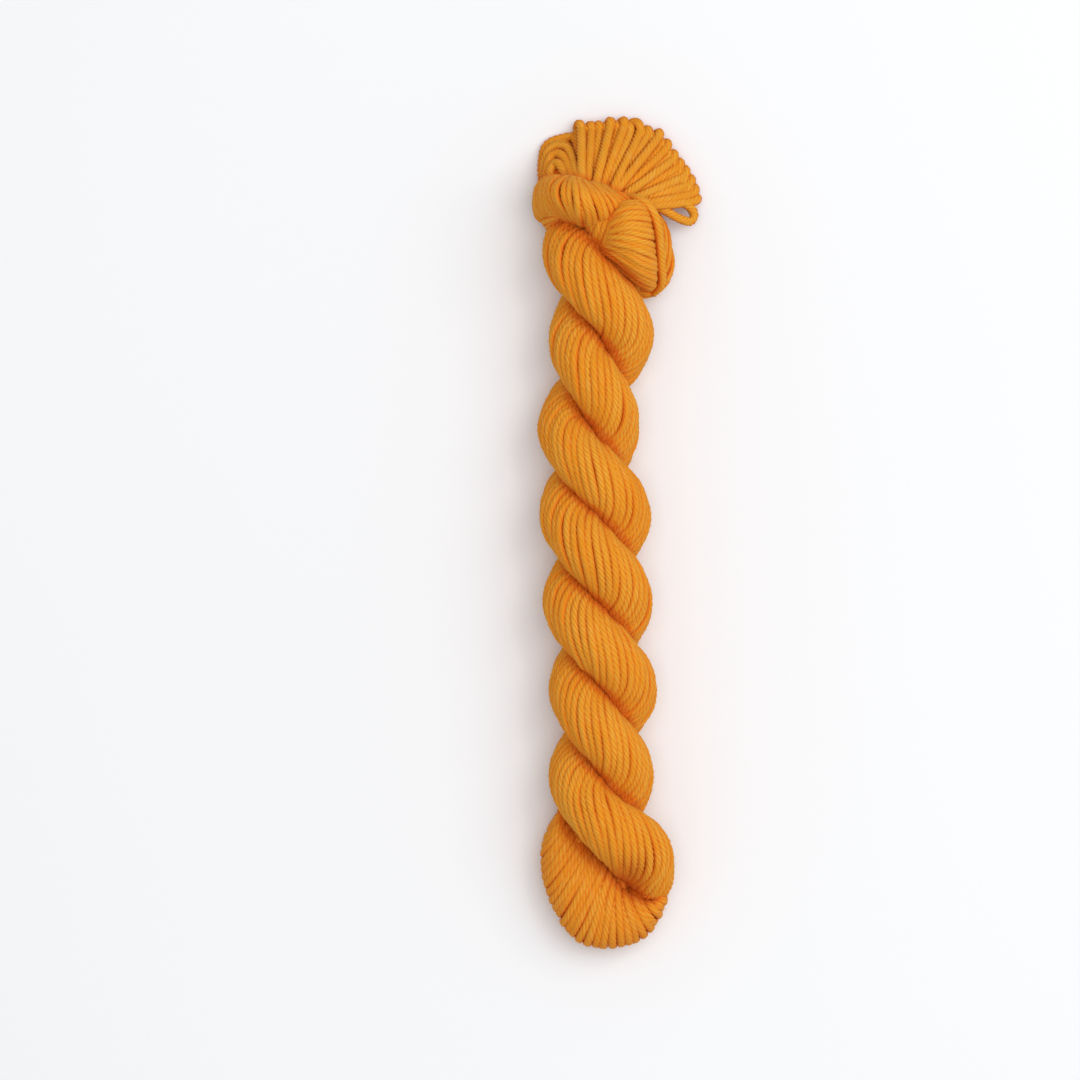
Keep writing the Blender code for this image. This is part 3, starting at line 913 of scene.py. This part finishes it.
def inner_rings(sections, reference, inset=YARN):
    """The turns below the ones that show, as one tube inside the bundle, ring by ring: its oval is the
    section's, less the inset."""
    sections = round_off(through(sections, INNER_STEP), INNER_DOME_RINGS)
    wide, thick, _ = frames(sections[:, :3], reference)
    angle = 2 * math.pi * np.arange(INNER_SIDES)[:, None] / INNER_SIDES
    half = np.maximum(sections[:, 3:] - inset, INNER_LEAST_HALF)[..., None, None]
    oval = half[:, 0] * np.cos(angle) * wide[:, None] + half[:, 1] * np.sin(angle) * thick[:, None]
    return sections[:, None, :3] + oval


def inner_wool(name, rings, material):
    """The closed tube through the rings, no lower than one yarn radius above the table."""
    rings[..., 2] = np.maximum(rings[..., 2], YARN)
    return tube_mesh(name, rings[None], material)


def linear(code):
    """A hex colour in sRGB as the linear colour that a shader takes."""
    parts = np.array([int(code[k : k + 2], 16) / 255 for k in (0, 2, 4)])
    low = parts <= 0.04045
    return (*np.where(low, parts / 12.92, ((parts + 0.055) / 1.055) ** 2.4), 1.0)


def node(tree, kind, inputs=(), **settings):
    """Adds a node with its settings; each input is a value or another node's output."""
    made = tree.nodes.new(kind)
    for name, value in settings.items():
        setattr(made, name, value)
    for socket, value in dict(inputs).items():
        if isinstance(value, bpy.types.NodeSocket):
            tree.links.new(value, made.inputs[socket])
        else:
            made.inputs[socket].default_value = value
    return made


def surface(name, finish):
    """A new material, its node tree and its shader, whose finish is a value for each of a few sockets."""
    material = bpy.data.materials.new(name)
    material.use_nodes = True
    shader = material.node_tree.nodes["Principled BSDF"]
    for socket, value in finish.items():
        shader.inputs[socket].default_value = value
    return material, material.node_tree, shader


def plied_wool():
    """Merino wool, spun in six plies and dyed by hand in the hank: matt, with a soft light rim from loose
    fibres. The dye runs a little lighter and darker along the yarn. Shade is painted into the colour: the
    furrows between plies and the turns' sides are painted a deeper orange, and wool that lies under other
    wool deeper still. Light fibres run along each ply, partly a painted highlight, kept to the open side."""
    finish = {
        "Roughness": 0.85,
        "Specular IOR Level": 0.18,
        "Sheen Weight": 0.06,
        "Sheen Roughness": 0.45,
        "Sheen Tint": linear("FFC070"),
    }
    material, tree, shader = surface("plied_merino_wool", finish)
    crown, dye, length, section_x, section_y, outside, under = (
        node(tree, "ShaderNodeAttribute", attribute_name=mark).outputs["Fac"]
        for mark in ("crown", "dye", "length", "section_x", "section_y", "outside", "buried")
    )
    place = node(tree, "ShaderNodeTexCoord").outputs["Object"]
    patches = {"Vector": place, "Scale": 1 / DYE_PATCH, "Detail": 3, "Roughness": 0.6}
    patches = node(tree, "ShaderNodeTexNoise", patches).outputs[0]
    on_ply = node(tree, "ShaderNodeCombineXYZ", {"X": section_x, "Y": section_y, "Z": length}).outputs[0]
    streaks = {"Vector": on_ply, "Scale": (YARN / STREAK_WIDTH, YARN / STREAK_WIDTH, 1 / STREAK_LENGTH)}
    streaks = node(tree, "ShaderNodeMapping", streaks).outputs[0]
    fibres = node(tree, "ShaderNodeTexNoise", {"Vector": streaks, "Scale": 1, "Detail": 2}).outputs[0]
    fuzz = node(tree, "ShaderNodeTexNoise", {"Vector": place, "Scale": 1 / FUZZ, "Detail": 2}).outputs[0]
    dyed = {"Factor": 0.5, "A": patches, "B": dye}
    dyed = node(tree, "ShaderNodeMix", dyed, data_type="FLOAT").outputs[0]
    dyed = node(tree, "ShaderNodeMapRange", {"Value": dyed, "From Min": 0.25, "From Max": 0.75}).outputs[0]
    body = {"Factor": dyed, "A": linear("DE971D"), "B": linear("E0AA33")}
    body = node(tree, "ShaderNodeMix", body, data_type="RGBA").outputs[2]
    # Painted shade: the furrows between plies are a deeper orange than the crowns.
    furrow_shaded = {"Factor": crown, "A": linear("E27E12"), "B": body}
    furrow_shaded = node(tree, "ShaderNodeMix", furrow_shaded, data_type="RGBA").outputs[2]
    # Painted shade: a turn's sides, turned away from its open side, go towards a deeper orange.
    open_side = {"Value": outside, "From Min": 0.22, "From Max": 0.86}
    open_side = node(tree, "ShaderNodeMapRange", open_side).outputs[0]
    side_shaded = {"Factor": open_side, "A": linear("DC6A0F"), "B": furrow_shaded}
    side_shaded = node(tree, "ShaderNodeMix", side_shaded, data_type="RGBA").outputs[2]
    # Painted shade: wool that lies under other wool, in the dimple and on the foot goes towards a deeper
    # orange still.
    deep = {"Factor": crown, "A": linear("D25C0C"), "B": linear("E07812")}
    deep = node(tree, "ShaderNodeMix", deep, data_type="RGBA").outputs[2]
    depth = {"Value": under, "From Min": 0.10, "From Max": 0.55, "To Max": 0.8}
    depth = node(tree, "ShaderNodeMapRange", depth).outputs[0]
    buried_shaded = {"Factor": depth, "A": side_shaded, "B": deep}
    buried_shaded = node(tree, "ShaderNodeMix", buried_shaded, data_type="RGBA").outputs[2]
    # Light fibres along the plies, partly a painted highlight: they are kept to the open side.
    strongest = node(tree, "ShaderNodeMath", {0: open_side, 1: 0.46}, operation="MULTIPLY").outputs[0]
    fibres_and_highlight = {"Value": fibres, "From Min": 0.5, "From Max": 0.8, "To Max": strongest}
    fibres_and_highlight = node(tree, "ShaderNodeMapRange", fibres_and_highlight).outputs[0]
    colour = {"Factor": fibres_and_highlight, "A": buried_shaded, "B": linear("EABE62")}
    colour = node(tree, "ShaderNodeMix", colour, data_type="RGBA").outputs[2]
    tree.links.new(colour, shader.inputs["Base Color"])
    height = {"Factor": 0.5, "A": fibres, "B": fuzz}
    height = node(tree, "ShaderNodeMix", height, data_type="FLOAT").outputs[0]
    bump = node(tree, "ShaderNodeBump", {"Height": height, "Strength": 0.6, "Distance": 0.0003}).outputs[0]
    tree.links.new(bump, shader.inputs["Normal"])
    return material


def mottled(name, size, dark, light, finish, detail=2, bump=0):
    """A material with patches of about a size between two colours, the lighter ones raised by the bump."""
    material, tree, shader = surface(name, finish)
    place = node(tree, "ShaderNodeTexCoord").outputs["Object"]
    patches = {"Vector": place, "Scale": 1 / size, "Detail": detail}
    patches = node(tree, "ShaderNodeTexNoise", patches).outputs[0]
    colour = {"Factor": patches, "A": linear(dark), "B": linear(light)}
    colour = node(tree, "ShaderNodeMix", colour, data_type="RGBA").outputs[2]
    tree.links.new(colour, shader.inputs["Base Color"])
    if bump:
        height = {"Height": patches, "Strength": 0.8, "Distance": bump}
        tree.links.new(node(tree, "ShaderNodeBump", height).outputs[0], shader.inputs["Normal"])
    return material


def shaded_wool():
    """The same dyed wool where it lies under other turns: matt, in strands, and painted a deeper orange as
    shade.
    """
    finish = {"Roughness": 0.9, "Specular IOR Level": 0.2}
    # The deeper orange is painted shade.
    return mottled("inner_merino_wool_painted_shade", INNER_STRAND, "D6620E", "E07616", finish, detail=3, bump=0.0005)


def fibre_wool():
    """Single fibres of the same wool, a little lighter because light comes through them."""
    finish = {"Roughness": 0.7, "Specular IOR Level": 0.3}
    return mottled("loose_merino_fibre", FIBRE_PATCH, "E8941C", "F4B850", finish)


def paper_white():
    """A seamless sheet of white paper, matt and a little uneven in tone."""
    finish = {"Roughness": 0.8, "Specular IOR Level": 0.2}
    return mottled("white_paper", PAPER_CLOUD, "EDEFF1", "F1F2F4", finish)


def place_camera():
    """The camera straight above the surface, so far up that the frame is as wide as the photograph's."""
    camera = added("camera", bpy.data.cameras.new("camera"))
    camera.data.lens = LENS
    camera.data.sensor_width = SENSOR
    camera.location = (*VIEW_CENTRE, VIEW_WIDTH * LENS / SENSOR + VIEW_LEVEL)
    bpy.context.scene.camera = camera


def soft_light(name, place, size, power):
    """A square soft box that faces the hank: it leans from straight down by the angle between its place
    and the vertical, and turns to that place's side."""
    lamp = added(name, bpy.data.lights.new(name, "AREA"))
    lamp.data.size = size
    lamp.data.energy = power
    lamp.location = place
    x, y, z = place
    lamp.rotation_euler = (math.acos(z / math.hypot(x, y, z)), 0, math.atan2(x, -y))


def studio():
    """The sheet of paper, the soft boxes and the even light of a white room."""
    mesh = bpy.data.meshes.new("paper")
    corners = [(-PAPER, -PAPER, 0), (PAPER, -PAPER, 0), (PAPER, PAPER, 0), (-PAPER, PAPER, 0)]
    mesh.from_pydata(corners, [], [(0, 1, 2, 3)])
    mesh.materials.append(paper_white())
    added("paper", mesh)
    soft_light("window_side", place=(0.85, 0.35, 1.15), size=0.9, power=5.4)
    soft_light("overhead", place=(0.25, 0.1, 1.9), size=1.6, power=17.4)
    world = bpy.data.worlds.new("white_room")
    world.use_nodes = True
    world.node_tree.nodes["Background"].inputs["Color"].default_value = (1, 1, 1, 1)
    world.node_tree.nodes["Background"].inputs["Strength"].default_value = ROOM_LIGHT
    bpy.context.scene.world = world
    bpy.context.scene.view_settings.view_transform = "Standard"


def bundles(shaded, random):
    """The turns that are wound round bundles, and the inner wool of each bundle."""
    rows = [
        ("right_ply", ply(0, RIGHT_LOBE), UP, PLY_TURNS, PLY_TWIST, YARN),
        ("left_ply", ply(math.pi, FOOT_ROOT), UP, PLY_TURNS, PLY_TWIST, YARN),
    ]
    rows += [(name, columns(sections, COLUMNS), *how) for name, sections, *how in WINDING]
    strands, inside = [], []
    for name, sections, reference, turns, twist, girth in rows:
        centres, outward = wound(sections, reference, turns, twist, girth, random)
        rings = inner_rings(sections, reference)
        if name == "right_ply":
            centres, rings = drawn_in(centres), drawn_in(rings)
        # Painted shade in the dimple, on the bundles round it.
        tone = DIMPLE_SHADE if name in DIMPLE_BUNDLES else 0
        strands.append(Strand(f"{name}_turns", centres, outward, outward, girth, dimple_tone=tone))
        inside.append(inner_wool(f"{name}_inside", rings, shaded))
    return strands, inside


def laid_turns(random):
    """The turns that are laid over the foot and over the two wraps."""
    left = columns(LEFT_WRAP_RIBS, PLACE).reshape(-1, LEFT_RIB, 3)
    right = columns(RIGHT_WRAP_RIBS, PLACE).reshape(-1, RIGHT_RIB, 3)
    strands = []
    # The foot's turns get painted shade all over: they count as more buried.
    for name, ribs, turns, girth, wander, tone in (
        ("foot_turns", foot_ribs(), FOOT_TURNS, YARN, FOOT_WANDER, FOOT_SHADE),
        ("left_wrap_turns", left, LEFT_WRAP_TURNS, KNOT_YARN, WRAP_WANDER, 0),
        ("right_wrap_turns", right, RIGHT_WRAP_TURNS, KNOT_YARN, WRAP_WANDER, 0),
    ):
        centres, outward = laid_over(ribs, turns, girth, wander, random)
        strands.append(Strand(name, centres, outward, outward, girth, tone=tone))
    return strands


def wool_below(shaded):
    """The inner wool below the foot, the two wraps and the arches."""
    rows = (
        ("foot_inside", ply(math.pi, FOOT_LOBE)[-FOOT_SECTIONS:], UP, FOOT_INSET),
        ("left_wrap_inside", columns(LEFT_WRAP, COLUMNS), LENGTHWISE, LEFT_WRAP_INSET),
        ("right_wrap_inside", columns(RIGHT_WRAP, COLUMNS), LENGTHWISE, RIGHT_WRAP_INSET),
        ("arches_inside", columns(ARCHES_HEART, COLUMNS), UP, ARCHES_INSET),
    )
    return [
        inner_wool(name, inner_rings(sections, reference, inset), shaded)
        for name, sections, reference, inset in rows
    ]


def fan():
    """The fan's loops, and a lower, shorter layer of them halfway between neighbours."""
    upper = columns(FAN, FAN_COLUMNS)
    lower = (upper[1:-1] + upper[:-2]) / 2
    lower[:, 3:5] += LOWER_SHORTER * (lower[:, :2] - lower[:, 3:5])
    lower[:, 2] -= LOWER_BY
    lower[:, 6] = LOWER_LEAN
    loops, squares = zip(*[fan_loop(row) for row in np.vstack([upper, lower])])
    squares = np.array(squares)[:, None] * np.ones((1, FAN_STATIONS, 1))
    return Strand("fan_loops", np.array(loops), squares, UP + 0 * squares, LOOSE_YARN, pressed=False)


def arches():
    """The loops at the left of the fan."""
    rows = np.split(columns(ARCHES, PLACE), np.cumsum(ARCH_POINTS)[:-1])
    paths = np.array([through(points, count=FAN_STATIONS) for points in rows])
    upward = UP + 0 * paths
    return Strand("fan_arches", paths, upward, upward, LOOSE_YARN, pressed=False)


def single_turns():
    """The turns that stand clear on their own: two face away from the knot's middle, and one faces up."""
    strands = []
    for name, rows, girth, middle in (
        ("slack_turn", SLACK_TURN, LOOSE_YARN, KNOT_MIDDLE),
        ("hanging_loop", HANGING_LOOP, LOOSE_YARN, None),
        ("crossing_turn", CROSSING_TURN, KNOT_YARN, KNOT_MIDDLE),
    ):
        path = through(columns(rows, PLACE))[None]
        outward = UP + 0 * path if middle is None else unit(path - middle)
        strands.append(Strand(name, path, outward, outward, girth, pressed=False))
    return strands


def hank(random):
    """All the wool, in the place of the CAD model's hank."""
    wool, shaded = plied_wool(), shaded_wool()
    strands, pieces = bundles(shaded, random)
    strands += [*laid_turns(random), fan(), arches(), *single_turns()]
    pieces += wool_below(shaded)
    wool_map = fullness(strands)
    pieces += [yarn(turns, wool_map, wool, random) for turns in strands]
    pieces.append(loose_fibres(strands, wool_map, fibre_wool(), random))
    for piece in pieces:
        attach(piece, "root")
        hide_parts("hank")


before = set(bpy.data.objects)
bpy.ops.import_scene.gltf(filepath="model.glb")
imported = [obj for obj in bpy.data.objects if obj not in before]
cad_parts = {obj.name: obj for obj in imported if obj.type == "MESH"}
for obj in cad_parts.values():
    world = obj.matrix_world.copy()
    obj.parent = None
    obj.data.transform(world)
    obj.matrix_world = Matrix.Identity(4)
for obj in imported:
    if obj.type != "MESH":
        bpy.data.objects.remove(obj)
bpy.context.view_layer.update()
place_camera()
studio()
hank(np.random.default_rng(SEED))
